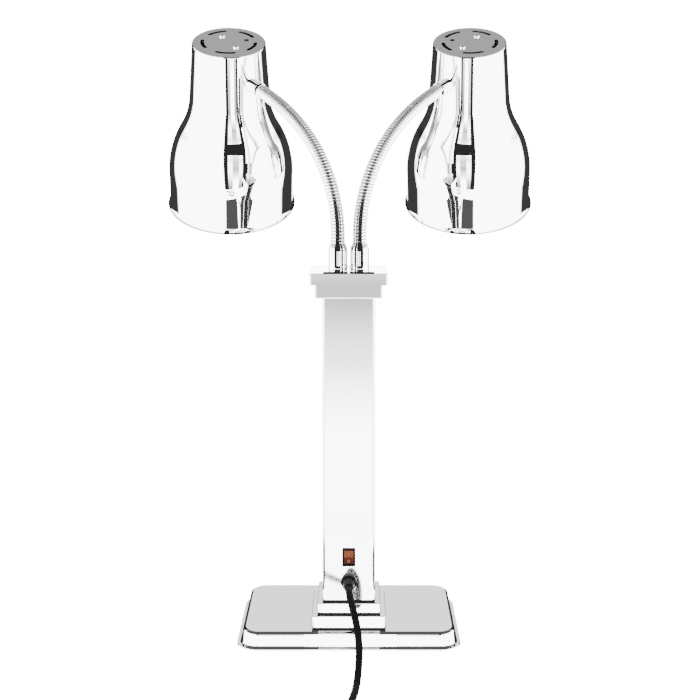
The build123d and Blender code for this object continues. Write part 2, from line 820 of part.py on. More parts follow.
tail_plane = Plane(
    origin=(coil_centre[0], coil_centre[1] - coil_turn_radius, cord_radius),
    x_dir=(0, -1, 0),
    z_dir=(-1, 0, 0),
)
with BuildPart() as cord_tail:
    with BuildSketch(tail_plane.offset(20)):
        Circle(cord_radius)
    extrude(amount=plug_start - 20)
save(cord_tail, "cord_tail")

# The plug lies on the floor with its two blades one above the other and its earth pin beside them.
plug_raise = plug_size[2] / 2 - cord_radius
plug_nose = plug_start + plug_relief + plug_size[0]
with BuildPart() as plug:
    with BuildSketch(tail_plane.offset(plug_start)):
        Circle(cord_radius)
    with BuildSketch(tail_plane.offset(plug_start + plug_relief)):
        with Locations((0, plug_raise)):
            RectangleRounded(17, 17, 6)
    loft()
    with BuildSketch(tail_plane.offset(plug_start + plug_relief)):
        with Locations((0, plug_raise)):
            RectangleRounded(17, 17, 6)
    with BuildSketch(tail_plane.offset(plug_nose - 16)):
        with Locations((0, plug_raise)):
            RectangleRounded(plug_size[1], plug_size[2], 7)
    loft()
    with BuildSketch(tail_plane.offset(plug_nose - 16)):
        with Locations((0, plug_raise)):
            RectangleRounded(plug_size[1], plug_size[2], 7)
    extrude(amount=16)
save(plug, "plug")

with BuildPart() as plug_pins:
    with BuildSketch(tail_plane.offset(plug_nose)):
        with Locations((3.0, plug_raise - 6.35), (3.0, plug_raise + 6.35)):
            Rectangle(6.3, 1.5)
        with Locations((-8.9, plug_raise)):
            Circle(2.4)
    extrude(amount=17.0)
save(plug_pins, "plug_pins")
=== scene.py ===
"""Looks for the twin heat lamp: polished metal, bendable necks, the mains cord and a plain studio.

Everything is in metres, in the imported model's own frame: +Z up, the switch and cord on the -Y side.
"""

import math

import bmesh
import bpy
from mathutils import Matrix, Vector
from mathutils.kdtree import KDTree


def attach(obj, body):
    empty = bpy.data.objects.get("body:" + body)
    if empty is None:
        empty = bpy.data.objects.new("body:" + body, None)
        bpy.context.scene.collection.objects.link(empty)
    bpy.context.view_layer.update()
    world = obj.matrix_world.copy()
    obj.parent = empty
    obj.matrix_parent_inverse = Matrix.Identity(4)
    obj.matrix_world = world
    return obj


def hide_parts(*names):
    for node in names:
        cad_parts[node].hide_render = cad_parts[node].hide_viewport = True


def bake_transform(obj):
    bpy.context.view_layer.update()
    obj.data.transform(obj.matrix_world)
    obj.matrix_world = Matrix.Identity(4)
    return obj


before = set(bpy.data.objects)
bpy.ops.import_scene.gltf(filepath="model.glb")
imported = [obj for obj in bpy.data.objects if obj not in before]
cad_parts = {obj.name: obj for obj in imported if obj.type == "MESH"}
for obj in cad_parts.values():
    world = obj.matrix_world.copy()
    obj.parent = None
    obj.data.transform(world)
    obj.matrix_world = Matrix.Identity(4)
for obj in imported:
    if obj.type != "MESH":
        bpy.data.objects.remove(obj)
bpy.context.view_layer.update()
MM = 0.001
SIDES = {"left": -1, "right": 1}


# ---------------------------------------------------------------- camera
# The place in metres, the tilt downwards in degrees, the lens in mm and the shift as shares of the frame.
CAMERA_PLACE = (0.0085, -1.4101, 0.5861)
CAMERA_TILT = 5.31
CAMERA_LENS = 64.2
CAMERA_SHIFT = (-0.009, -0.15)


def make_camera():
    """Looks along +Y, a little down, from the height of the shades."""
    camera = bpy.data.objects.new("camera", bpy.data.cameras.new("camera"))
    bpy.context.collection.objects.link(camera)
    camera.location = CAMERA_PLACE
    camera.rotation_euler = (math.radians(90 - CAMERA_TILT), 0, 0)
    camera.data.sensor_width = 36
    camera.data.lens = CAMERA_LENS
    camera.data.shift_x, camera.data.shift_y = CAMERA_SHIFT
    bpy.context.scene.camera = camera


# ---------------------------------------------------------------- small helpers
def smooth(t):
    """Eases from 0 to 1."""
    t = min(max(t, 0.0), 1.0)
    return t * t * (3 - 2 * t)


def new_piece(name, verts, faces, flat=False):
    """A mesh object in the scene, shaded smooth unless flat is asked for."""
    mesh = bpy.data.meshes.new(name)
    mesh.from_pydata([tuple(v) for v in verts], [], faces)
    mesh.validate()
    if flat:
        mesh.shade_flat()
    else:
        mesh.shade_smooth()
    piece = bpy.data.objects.new(name, mesh)
    bpy.context.collection.objects.link(piece)
    return piece


def set_material(piece, material):
    """Gives a piece, or a node of the frame, one material."""
    piece.data.materials.clear()
    piece.data.materials.append(material)


# ---------------------------------------------------------------- mains cord
CORD_DIAMETER = 8.0
CORD_ROUTE = [
    (0.0, -50.0, 72.7),
    (0.5, -68.0, 72.0),
    (4.5, -87.0, 64.0),
    (9.5, -101.0, 48.5),
    (12.0, -112.0, 29.5),
    (11.0, -126.0, 13.0),
    (9.0, -146.0, 4.5),
    (6.5, -168.0, 4.0),
    (2.0, -191.0, 4.0),
    (-9.0, -213.0, 4.0),
    (-26.0, -231.0, 4.0),
    (-41.0, -250.0, 4.0),
    (-49.0, -272.0, 4.0),
]
COIL_CENTRE = (-98.0, -294.0)
COIL_PLACES = [(48, 4), (40, 4), (40, 12), (40, 20), (48, 20), (48, 12), (48, 4)]
COIL_BULGES = [(0, 0), (-3, 0), (-2, 0), (0, 1.5), (2, 0), (3, 0)]
COIL_SHIFT = 85
COIL_STEP = 22.5
COIL_LEAVES = 5 * 360 + 90
# Where an outer turn starts to drop and to climb, and how far it takes, in degrees.
COIL_DROP = (95, 55)
COIL_CLIMB = (285, 50)
TAIL_ROUTE = [(-114.0, -342.0, 4.0), (-130.0, -342.0, 4.0)]


def coil_point(turned):
    """A point of the wound cord, this many degrees clockwise from where it comes in.

    Each turn starts in its own place of the coil's section, (radius, height) in mm, and moves over
    to the next turn's place in its first COIL_SHIFT degrees, swelling a little as it passes. The
    outer turns then drop onto the floor, and climb again to pass over the incoming cord.
    """
    turn = int(turned // 360)
    angle = turned - 360 * turn
    share = smooth(angle / COIL_SHIFT)
    swell = math.sin(math.pi * share)
    radius, height = (
        before + (after - before) * share + bulge * swell
        for before, after, bulge in zip(COIL_PLACES[turn], COIL_PLACES[turn + 1], COIL_BULGES[turn])
    )
    if turn in (3, 4):
        dropped = smooth((angle - COIL_DROP[0]) / COIL_DROP[1])
        climbed = smooth((angle - COIL_CLIMB[0]) / COIL_CLIMB[1])
        height -= CORD_DIAMETER * (dropped - climbed)
    around = math.radians(-angle)
    return (
        COIL_CENTRE[0] + radius * math.cos(around),
        COIL_CENTRE[1] + radius * math.sin(around),
        height,
    )


def make_cord(material):
    """The mains cord, from the gland to the plug, on one smooth curve."""
    points = list(CORD_ROUTE)
    for step in range(int(COIL_LEAVES / COIL_STEP) + 1):
        points.append(coil_point(step * COIL_STEP))
    points += TAIL_ROUTE
    data = bpy.data.curves.new("flex", "CURVE")
    data.dimensions = "3D"
    spline = data.splines.new("NURBS")
    spline.points.add(len(points) - 1)
    for place, point in zip(spline.points, points):
        place.co = (*(c * MM for c in point), 1)
    spline.order_u = 3
    spline.use_endpoint_u = True
    spline.resolution_u = 6
    data.bevel_depth = CORD_DIAMETER / 2 * MM
    data.bevel_resolution = 6
    data.materials.append(material)
    flex = bpy.data.objects.new("flex", data)
    bpy.context.collection.objects.link(flex)
    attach(flex, "root")
    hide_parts("mains_cord", "cord_coil", "cord_tail")


# ---------------------------------------------------------------- materials
CHROME = (0.93, 0.93, 0.94)
# How deep the grain and the wave of bare metal are shaded, in metres.
GRAIN_DEPTH = 0.00002
WAVE_DEPTH = 0.0004
# The middle of a right-hand shade's closed end, in mm, and the shade's axis.
SHADE_TOP = (146.71, 127.61, 691.74)
SHADE_AXIS = (-0.0374, -0.4639, 0.8851)
# How far into a shade its inside gets painted shadow, and how far in its inner faces start, in metres.
PAINTED_DARK_DEPTH = 0.06
INNER_START = 0.0004
# The cosine with a shade's axis below which a face looks down into the shade.
LOOKS_DOWN = -0.7
# The heights between which the rocker's painted light turns from a dark red lower half to an orange upper
# half.
AMBER_LOW = 0.1000
AMBER_HIGH = 0.1030


def material_graph(name):
    """A new node material, its shader and a function that adds nodes to it."""
    material = bpy.data.materials.new(name)
    material.use_nodes = True
    tree = material.node_tree
    shader = tree.nodes["Principled BSDF"]

    def add(kind, **settings):
        node = tree.nodes.new(kind)
        for key, value in settings.items():
            if key in node.inputs:
                node.inputs[key].default_value = value
            else:
                setattr(node, key, value)
        return node

    return material, shader, add, tree.links.new


def noise(add, link, scale, detail=3.0, stretch=(1, 1, 1)):
    """Noise fixed to the piece, its scale in cells a metre."""
    where = add("ShaderNodeTexCoord")
    spread = add("ShaderNodeMapping")
    spread.inputs["Scale"].default_value = stretch
    link(where.outputs["Object"], spread.inputs["Vector"])
    texture = add("ShaderNodeTexNoise", Scale=scale, Detail=detail)
    link(spread.outputs["Vector"], texture.inputs["Vector"])
    return texture.outputs["Fac"]


def to_range(add, link, value, low, high, start=0.0, end=1.0):
    """Moves a value from start..end to low..high."""
    node = add("ShaderNodeMapRange")
    node.inputs["From Min"].default_value = start
    node.inputs["From Max"].default_value = end
    node.inputs["To Min"].default_value = low
    node.inputs["To Max"].default_value = high
    link(value, node.inputs["Value"])
    return node.outputs["Result"]


def bump(add, link, shader, height, strength, distance):
    """Raises a surface's shading by height times distance, in metres."""
    node = add("ShaderNodeBump", Strength=strength, Distance=distance)
    link(height, node.inputs["Height"])
    link(node.outputs["Normal"], shader.inputs["Normal"])


def smeared(add, link, shader, rough, smear):
    """Roughness with finger smears in it, from rough to rough + smear."""
    smears = noise(add, link, 35, 4.0)
    link(to_range(add, link, smears, rough, rough + smear, 0.4, 0.75), shader.inputs["Roughness"])


def metal(name, colour, rough, smear=0.02, grain=None, wave=0.0):
    """Bare metal: finger smears in its roughness, an optional stretched grain and a faint wave."""
    material, shader, add, link = material_graph(name)
    shader.inputs["Metallic"].default_value = 1.0
    shader.inputs["Base Color"].default_value = (*colour, 1)
    smeared(add, link, shader, rough, smear)
    if grain:
        scale, stretch, strength = grain
        bump(add, link, shader, noise(add, link, scale, 2.0, stretch), strength, GRAIN_DEPTH)
    elif wave:
        bump(add, link, shader, noise(add, link, 18, 1.0), wave, WAVE_DEPTH)
    return material


def plastic(name, colour, rough, grain_scale=2500, grain_depth=0.00002, colour_shift=0.25, shine=0.5):
    """Moulded plastic or rubber with a fine grain and slight changes of tone."""
    material, shader, add, link = material_graph(name)
    shader.inputs["Specular IOR Level"].default_value = shine
    tone = noise(add, link, 60)
    ramp = add("ShaderNodeMix", data_type="RGBA")
    ramp.inputs["A"].default_value = (*colour, 1)
    ramp.inputs["B"].default_value = (*(min(c * (1 + colour_shift) + 0.004, 1) for c in colour), 1)
    link(tone, ramp.inputs["Factor"])
    link(ramp.outputs["Result"], shader.inputs["Base Color"])
    link(to_range(add, link, tone, rough, rough + 0.1), shader.inputs["Roughness"])
    bump(add, link, shader, noise(add, link, grain_scale, 2.0), 0.4, grain_depth)
    return material


def amber_material():
    """Translucent amber plastic with painted light: a faint glow, brighter orange on the upper half than on
    the dark red lower half.
    """
    material, shader, add, link = material_graph("amber")
    shader.inputs["Roughness"].default_value = 0.25
    shader.inputs["Specular IOR Level"].default_value = 0.03
    shader.inputs["Transmission Weight"].default_value = 0.1
    where = add("ShaderNodeTexCoord")
    parts = add("ShaderNodeSeparateXYZ")
    link(where.outputs["Object"], parts.inputs["Vector"])
    # Painted light: the same colour drives the glow, so the upper half looks lit and the lower half shaded.
    glow = add("ShaderNodeMix", data_type="RGBA")
    glow.inputs["A"].default_value = (0.11, 0.012, 0.001, 1)
    glow.inputs["B"].default_value = (0.36, 0.075, 0.012, 1)
    link(to_range(add, link, parts.outputs["Z"], 0.0, 1.0, AMBER_LOW, AMBER_HIGH), glow.inputs["Factor"])
    link(glow.outputs["Result"], shader.inputs["Base Color"])
    link(glow.outputs["Result"], shader.inputs["Emission Color"])
    shader.inputs["Emission Strength"].default_value = 0.35
    shader.inputs["IOR"].default_value = 1.5
    bump(add, link, shader, noise(add, link, 900), 0.2, 0.00003)
    return material


def glass_material():
    """Frosted face glass of a reflector bulb."""
    material, shader, add, link = material_graph("lamp_glass")
    shader.inputs["Base Color"].default_value = (0.93, 0.93, 0.91, 1)
    shader.inputs["Transmission Weight"].default_value = 0.75
    shader.inputs["IOR"].default_value = 1.45
    link(to_range(add, link, noise(add, link, 220), 0.28, 0.42), shader.inputs["Roughness"])
    bump(add, link, shader, noise(add, link, 1500), 0.3, 0.00005)
    return material


def neck_material():
    """Chrome with painted shade in the strip's grooves: its colour turns near black where the strip lies
    deep.
    """
    material, shader, add, link = material_graph("neck_chrome")
    shader.inputs["Metallic"].default_value = 1.0
    depth = add("ShaderNodeAttribute", attribute_name="groove")
    # Painted shade: the base colour goes from near white on the crown to near black deep in the grooves.
    colour = add("ShaderNodeMix", data_type="RGBA")
    colour.inputs["A"].default_value = (0.9, 0.9, 0.91, 1)
    colour.inputs["B"].default_value = (0.04, 0.04, 0.045, 1)
    link(depth.outputs["Fac"], colour.inputs["Factor"])
    link(colour.outputs["Result"], shader.inputs["Base Color"])
    smeared(add, link, shader, 0.06, 0.05)
    return material


def darken_inside(shade, side, material):
    """Gives the faces inside a shade's closed end a second, near black material: painted shadow in the
    closed end, which the vent slots show.
    """
    centre = Vector((side * SHADE_TOP[0], SHADE_TOP[1], SHADE_TOP[2])) * MM
    axis = Vector((side * SHADE_AXIS[0], SHADE_AXIS[1], SHADE_AXIS[2]))
    shade.data.materials.append(material)
    to_world = shade.matrix_world
    turn = to_world.to_3x3()
    for face in shade.data.polygons:
        place = to_world @ face.center - centre
        normal = (turn @ face.normal).normalized()
        depth = -place.dot(axis)
        outward = (place + axis * depth).dot(normal)
        faces_in = outward < 0 or normal.dot(axis) < LOOKS_DOWN
        if faces_in and INNER_START < depth < PAINTED_DARK_DEPTH:
            face.material_index = 1


def make_materials():
    """Every material by name."""
    return {
        "shade": metal("shade_chrome", CHROME, 0.015, 0.02, wave=0.05),
        # Painted shadow, laid on the faces inside each shade's closed end.
        "inner_shadow_paint": plastic("painted_inner_shadow", (0.02, 0.02, 0.02), 0.7),
        "base": metal("polished_base", CHROME, 0.02, 0.03, wave=0.06),
        "column": metal("column_steel", (0.88, 0.88, 0.89), 0.06, 0.05, grain=(900, (1, 1, 0.02), 0.3)),
        "cap": metal("polished_cap", CHROME, 0.03, 0.03, wave=0.05),
        "neck": neck_material(),
        "socket": metal("socket_chrome", CHROME, 0.03, 0.03),
        "iron": plastic("weight_iron", (0.045, 0.045, 0.05), 0.6, 700, 0.0003),
        "zinc": metal("zinc_steel", (0.62, 0.63, 0.64), 0.3, 0.15),
        "screw": metal("fastener_steel", (0.80, 0.80, 0.81), 0.12, 0.1),
        "rubber": plastic("foot_rubber", (0.03, 0.03, 0.03), 0.7),
        "black": plastic("switch_black", (0.012, 0.012, 0.013), 0.35, shine=0.03),
        "gland": plastic("gland_black", (0.012, 0.012, 0.013), 0.35, shine=0.02),
        "cord": plastic("cord_black", (0.012, 0.012, 0.013), 0.5, shine=0.015),
        "plug": plastic("plug_black", (0.018, 0.018, 0.02), 0.42, 1800, shine=0.06),
        "tie": plastic("tie_black", (0.02, 0.02, 0.02), 0.9, 1200, 0.0004),
        "nylon": plastic("terminal_nylon", (0.72, 0.70, 0.64), 0.45),
        "sleeve": plastic("lead_sleeve", (0.80, 0.78, 0.70), 0.7, 1500, 0.0002),
        "porcelain": plastic("porcelain", (0.85, 0.83, 0.78), 0.12, 300, 0.00005, 0.04),
        "brass": metal("contact_brass", (0.80, 0.60, 0.28), 0.2, 0.12),
        "paint": plastic("mark_paint", (0.62, 0.50, 0.42), 0.5, shine=0.1),
        "amber": amber_material(),
        "glass": glass_material(),
    }


NODE_MATERIALS = {
    "base": ["base_cover", "lower_plinth", "upper_plinth"],
    "column": ["column"],
    "cap": ["cap_collar", "cap_plate"],
    "socket": ["neck_socket_left", "neck_socket_right", "ferrule_left", "ferrule_right"],
    "shade": ["shade_left", "shade_right"],
    "iron": ["base_weight"],
    "zinc": ["bottom_plate", "column_foot", "cap_bracket", "holder_bracket_left", "holder_bracket_right"],
    "screw": ["bottom_screws", "column_bolts", "socket_nuts", "ferrule_nut_left", "ferrule_nut_right",
              "shade_screws_left", "shade_screws_right", "earth_stud"],
    "rubber": ["rubber_feet"],
    "black": ["switch_housing"],
    "amber": ["rocker"],
    "brass": ["switch_tabs", "plug_pins", "bulb_cap_left", "bulb_cap_right"],
    "gland": ["cable_gland", "gland_nut"],
    "nylon": ["terminal_block"],
    "sleeve": ["lamp_leads", "supply_lead"],
    "tie": ["cord_tie"],
    "plug": ["plug"],
    "porcelain": ["lamp_holder_left", "lamp_holder_right"],
    "glass": ["bulb_glass_left", "bulb_glass_right"],
}

# ---------------------------------------------------------------- bendable necks
# The neck's line: upright from its seat, then an arc that opens out evenly along its length.
NECK_OFFSET = 12.3
NECK_SEAT = 440.0
NECK_STRAIGHT_TOP = 466.0
NECK_LENGTH = 230.4
NECK_LINKS = 6
FIRST_CURVATURE = 1 / 126.5
LAST_CURVATURE = 1 / 428.0
NECK_AZIMUTH = math.radians(47)
NECK_RADIUS = 8.0
# How deep the strip's grooves are, and how far its crown falls away toward them, in mm.
NECK_GROOVE = 0.9
NECK_CROWN = 0.12
# How far below the neck's radius the painted groove shade starts, and over what depth it comes in, in mm.
GROOVE_SHADE_START = 0.15
GROOVE_SHADE_DEPTH = 0.5
# Steps along the neck's line, from which the strip's radius is measured.
LINE_STEPS = 400
NECK_TURNS = 68
ROWS_A_TURN = 10
COLUMNS = 48
BLEND_REACH = 13.5


def neck_line(side):
    """A function that gives the neck's point and direction at a distance from its seat, in mm."""
    outward = Vector((side * math.cos(NECK_AZIMUTH), math.sin(NECK_AZIMUTH), 0))
    upward = Vector((0, 0, 1))
    link_length = NECK_LENGTH / NECK_LINKS
    straight = NECK_STRAIGHT_TOP - NECK_SEAT

    def heading(lean):
        return outward * math.sin(lean) + upward * math.cos(lean)

    links = []
    start, lean = Vector((side * NECK_OFFSET, 0, NECK_STRAIGHT_TOP)), 0.0
    for index in range(NECK_LINKS):
        share = (index + 0.5) / NECK_LINKS
        curvature = (1 - share) * FIRST_CURVATURE + share * LAST_CURVATURE
        links.append((start, lean, curvature))
        turned = lean + link_length * curvature
        start = start + (heading(lean + math.pi / 2) - heading(turned + math.pi / 2)) / curvature
        lean = turned

    def at(distance):
        if distance <= straight:
            return Vector((side * NECK_OFFSET, 0, NECK_SEAT + distance)), upward
        along = distance - straight
        index = min(int(along / link_length), NECK_LINKS - 1)
        start, lean, curvature = links[index]
        turned = lean + (along - index * link_length) * curvature
        place = start + (heading(lean + math.pi / 2) - heading(turned + math.pi / 2)) / curvature
        return place, heading(turned)

    return at, outward.cross(upward)


def strip_profile(share):
    """Radius across one turn of the wound strip: a low crown between two narrow grooves."""
    from_middle = abs(2 * share - 1)
    return NECK_RADIUS - NECK_GROOVE * from_middle**5 - NECK_CROWN * from_middle**2


def paint_groove_shade(piece, at, total):
    """Stores how deep each vertex of a wound strip lies, for its material's painted groove shade: 0 on the
    crown, 1 in a groove.
    """
    middles = [at(total * step / LINE_STEPS)[0] for step in range(LINE_STEPS + 1)]
    tree = KDTree(len(middles))
    for index, middle in enumerate(middles):
        tree.insert(middle, index)
    tree.balance()
    depths = piece.data.attributes.new("groove", "FLOAT", "POINT")
    for vertex, stored in zip(piece.data.vertices, depths.data):
        radius = tree.find(vertex.co / MM)[2]
        stored.value = min(max((NECK_RADIUS - GROOVE_SHADE_START - radius) / GROOVE_SHADE_DEPTH, 0.0), 1.0)


def make_neck_piece(name, side, first_turn, last_turn, material):
    """The wound strip from one turn to another. Its rows run along the winding's own helix."""
    at, hinge_line = neck_line(side)
    total = NECK_STRAIGHT_TOP - NECK_SEAT + NECK_LENGTH
    pitch = total / (NECK_TURNS + 1)
    rows = (last_turn - first_turn) * ROWS_A_TURN
    verts, faces = [], []
    for row in range(rows + 1):
        phase = first_turn + row / ROWS_A_TURN
        radius = strip_profile(phase % 1.0)
        for column in range(COLUMNS + 1):
            share = column / COLUMNS
            place, direction = at((phase + share) * pitch)
            toward = direction.cross(hinge_line)
            angle = 2 * math.pi * share * side
            spoke = hinge_line * math.cos(angle) + toward * math.sin(angle)
            verts.append((place + spoke * radius) * MM)
    width = COLUMNS + 1
    for row in range(rows):
        for column in range(COLUMNS):
            a = row * width + column
            faces.append((a, a + 1, a + width + 1, a + width))
    piece = new_piece(name, verts, faces)
    mesh = bmesh.new()
    mesh.from_mesh(piece.data)
    bmesh.ops.remove_doubles(mesh, verts=mesh.verts, dist=1e-6)
    bmesh.ops.recalc_face_normals(mesh, faces=mesh.faces)
    mesh.to_mesh(piece.data)
    mesh.free()
    piece.data.shade_smooth()
    set_material(piece, material)
    paint_groove_shade(piece, at, total)
    return piece


def make_neck(label, side, material):
    """Five pieces of wound strip, each spanning one joint of the neck, in place of the neck's links."""
    at, _ = neck_line(side)
    straight = NECK_STRAIGHT_TOP - NECK_SEAT
    link_length = NECK_LENGTH / NECK_LINKS
    pitch = (straight + NECK_LENGTH) / (NECK_TURNS + 1)
    cuts = [0] + [round((straight + link_length * (k + 0.5)) / pitch - 0.5) for k in (1, 2, 3, 4)]
    cuts.append(NECK_TURNS)
    for index in range(5):
        name = f"neck_strip_{index + 1}_{label}"
        piece = make_neck_piece(name, side, cuts[index], cuts[index + 1], material)
        joint = straight + link_length * (index + 1)
        start, _ = at(joint - BLEND_REACH)
        end, _ = at(joint + BLEND_REACH)
        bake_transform(piece)
        nodes = [f"neck_link_{index + 1}_{label}"]
        if index == 4:
            nodes.append(f"neck_link_6_{label}")
        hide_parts(*nodes)


# ---------------------------------------------------------------- switch marks
# In mm: the rocker's middle, each mark's distance above or below it, and the marks' own sizes.
SWITCH_HEIGHT = 101.5
MARK_HEIGHT = 3.6
MARK_THICKNESS = 0.55
BAR_REACH = 1.2
RING_RADIUS = 1.15
RING_STEPS = 24
# In metres: the paint's thickness, and where the rays that find the rocker's face start.
PAINT_THICKNESS = 0.00006
MARK_RAY_START = -0.06


def printed_mark(name, outline, material):
    """A strip of paint laid on the rocker's face, from pairs of (x, z) points in mm."""
    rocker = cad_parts["rocker"]
    to_world = rocker.matrix_world
    to_local = to_world.inverted()
    toward = (to_local.to_3x3() @ Vector((0, 1, 0))).normalized()
    verts = []
    for pair in outline:
        for x, z in pair:
            start = to_local @ Vector((x * MM, MARK_RAY_START, (SWITCH_HEIGHT + z) * MM))
            hit, place, normal, _ = rocker.ray_cast(start, toward)
            assert hit, name
            verts.append(to_world @ (place + normal * PAINT_THICKNESS))
    faces = [(2 * i, 2 * i + 1, 2 * i + 3, 2 * i + 2) for i in range(len(outline) - 1)]
    mark = new_piece(name, verts, faces)
    set_material(mark, material)
    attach(mark, "rocker")


def make_marks(material):
    """The bar for on and the ring for off."""
    half = MARK_THICKNESS / 2
    rises = (-BAR_REACH, -BAR_REACH / 3, BAR_REACH / 3, BAR_REACH)
    bar = [((-half, MARK_HEIGHT + z), (half, MARK_HEIGHT + z)) for z in rises]
    printed_mark("mark_on", bar, material)
    ring = []
    for step in range(RING_STEPS + 1):
        angle = 2 * math.pi * step / RING_STEPS
        inner, outer = RING_RADIUS - half, RING_RADIUS + half
        ring.append((
            (inner * math.cos(angle), inner * math.sin(angle) - MARK_HEIGHT),
            (outer * math.cos(angle), outer * math.sin(angle) - MARK_HEIGHT),
        ))
    printed_mark("mark_off", ring, material)


# ---------------------------------------------------------------- studio
# What polished surfaces see round them: the walls' brightness low down and higher up, the ceiling's,
# and between which slopes (upward share of the direction) one gives way to the next.
WALLS = 13.0
UPPER_WALLS = 2.3
CEILING = 0.6
WALLS_DIM = (0.2, 0.27)
CEILING_STARTS = (0.6, 0.75)
# The share of the walls' brightness left at each compass direction, in degrees from the camera's side.
# The dark gap behind the lamp on each side draws the dark edges of the polished shades.
GAP_SHARES = [(0, 1.0), (122, 1.0), (126, 0.005), (167, 0.005), (171, 1.0), (180, 1.0)]
# What the eye sees of the background, and the light that dull surfaces get from all round.
BACKGROUND = 18.0
FILL = 0.55
# Brightness against height, in metres from the floor up, for the cards in front.
MIDDLE_LEVELS = [
    (0.0, 10), (0.15, 11), (0.25, 4), (0.34, 1.3), (0.37, 1.2), (0.39, 2), (0.44, 1.7), (0.52, 4),
]
SIDE_LEVELS = [(0.0, 0.8), (0.06, 1.0), (0.16, 2.4), (0.30, 8.0), (0.42, 8.0), (0.47, 4.0), (0.52, 9.0)]
BRIGHTEST_CARD = 12.0
DARK = 0.03
DIM = 0.11
CARDS_Y = -0.40
CARD_TOP = 0.52
GAP_TOP = 1.3
# How far from the middle the middle card ends, and the dark slats start and end.
MIDDLE_HALF = 0.065
SLAT_INNER = 0.150
SLAT_OUTER = 0.240
# Dim level cards low in front, which the shades' skirts see: from x, y, z to x, y, z.
LOW_CARD = ((0.036, -0.17, 0.06), (0.21, -0.02, 0.0601))
# Small dark cards before each neck socket: their heights and their reaches from the middle plane.
SOCKET_CARD_Y = -0.022
SOCKET_CARD_HEIGHTS = (0.4280, 0.4310, 0.4475, 0.505)
SOCKET_CARD_REACHES = (0.0154, 0.0289, 0.0010)
DIVIDER_DEPTHS = (-0.0206, -0.0133)
# The side and the foot height, in mm, of the column, the upper plinth and the lower plinth.
LEDGES = [(60.0, 49.2), (72.0, 36.6), (84.0, 21.4)]
LEDGE_CARD_GAP = 0.0004
LEDGE_CARD_HEIGHT = 0.0020
FLOOR_REACH = 4.0
# The light overhead: its place, what it points at and its size in metres, and its power in watts.
OVERHEAD_PLACE = (0, -0.5, 2.0)
OVERHEAD_AIM = (0, 0, 0.2)
OVERHEAD_SIZE = (1.6, 1.2)
OVERHEAD_POWER = 12


def level_ramp(tree, stops, whole, full):
    """A colour ramp node that holds brightness over a range, as shares of full."""
    node = tree.nodes.new("ShaderNodeValToRGB")
    ramp = node.color_ramp
    while len(ramp.elements) < len(stops):
        ramp.elements.new(1.0)
    for element, (where, level) in zip(ramp.elements, stops):
        element.position = where / whole
        element.color = (level / full,) * 3 + (1,)
    return node


def card(name, low, high, levels):
    """A glowing card between two corners, which only polished surfaces see."""
    x0, y0, z0 = low
    x1, y1, z1 = high
    corners = [(x0, y0, z0), (x1, y0, z0), (x1, y1, z1), (x0, y1, z1)]
    if x0 == x1:
        corners = [(x0, y0, z0), (x0, y1, z0), (x0, y1, z1), (x0, y0, z1)]
    piece = new_piece(name, corners, [(0, 1, 2, 3)], flat=True)
    material = bpy.data.materials.new(name)
    material.use_nodes = True
    tree = material.node_tree
    tree.nodes.clear()
    link = tree.links.new
    where = tree.nodes.new("ShaderNodeTexCoord")
    parts = tree.nodes.new("ShaderNodeSeparateXYZ")
    link(where.outputs["Object"], parts.inputs["Vector"])
    share = tree.nodes.new("ShaderNodeMapRange")
    share.inputs["From Max"].default_value = CARD_TOP
    link(parts.outputs["Z"], share.inputs["Value"])
    ramp = level_ramp(tree, levels, CARD_TOP, BRIGHTEST_CARD)
    link(share.outputs["Result"], ramp.inputs["Fac"])
    glow = tree.nodes.new("ShaderNodeEmission")
    link(ramp.outputs["Color"], glow.inputs["Color"])
    glow.inputs["Strength"].default_value = BRIGHTEST_CARD
    out = tree.nodes.new("ShaderNodeOutputMaterial")
    link(glow.outputs["Emission"], out.inputs["Surface"])
    set_material(piece, material)
    piece.visible_camera = False
    piece.visible_diffuse = False
    piece.visible_shadow = False
    piece.visible_transmission = False


def make_cards():
    """The reflector cards in front of the lamp, the dark bar above them and the dark slats beside them."""
    dark = [(0.0, DARK), (CARD_TOP, DARK)]
    dim = [(0.0, DIM), (CARD_TOP, DIM)]
    (low_inner, low_front, low_z), (low_outer, low_back, low_top) = LOW_CARD
    card("card_middle", (-MIDDLE_HALF, CARDS_Y, 0), (MIDDLE_HALF, CARDS_Y, CARD_TOP), MIDDLE_LEVELS)
    card("card_gap", (-SLAT_OUTER, CARDS_Y, CARD_TOP), (SLAT_OUTER, CARDS_Y, GAP_TOP), dark)
    for label, side in SIDES.items():
        edge, inner, outer = MIDDLE_HALF * side, SLAT_INNER * side, SLAT_OUTER * side
        card(f"card_side_{label}", (edge, CARDS_Y, 0), (inner, CARDS_Y, CARD_TOP), SIDE_LEVELS)
        card(f"slat_{label}", (inner, CARDS_Y, 0), (outer, CARDS_Y, CARD_TOP), dark)
        near, far = (low_inner * side, low_front, low_z), (low_outer * side, low_back, low_top)
        card(f"card_low_{label}", near, far, dim)


def make_small_cards():
    """Dark strips that draw the dark lines round the sockets and at the walls' feet, from the front."""
    dark = [(0.0, DARK), (CARD_TOP, DARK)]
    low, sill, lintel, high = SOCKET_CARD_HEIGHTS
    front = SOCKET_CARD_Y
    card("socket_divider", (0, DIVIDER_DEPTHS[0], low), (0, DIVIDER_DEPTHS[1], high), dark)
    for label, side in SIDES.items():
        inner, outer, edge = (side * reach for reach in SOCKET_CARD_REACHES)
        card(f"socket_outer_{label}", (inner, front, low), (outer, front, high), dark)
        card(f"socket_low_{label}", (edge, front, low), (inner, front, sill), dark)
        card(f"socket_high_{label}", (edge, front, lintel), (inner, front, high), dark)
    for index, (width, foot) in enumerate(LEDGES):
        half = width / 2 * MM
        y = -half - LEDGE_CARD_GAP
        card(f"ledge_{index}", (-half, y, foot * MM), (half, y, foot * MM + LEDGE_CARD_HEIGHT), dark)


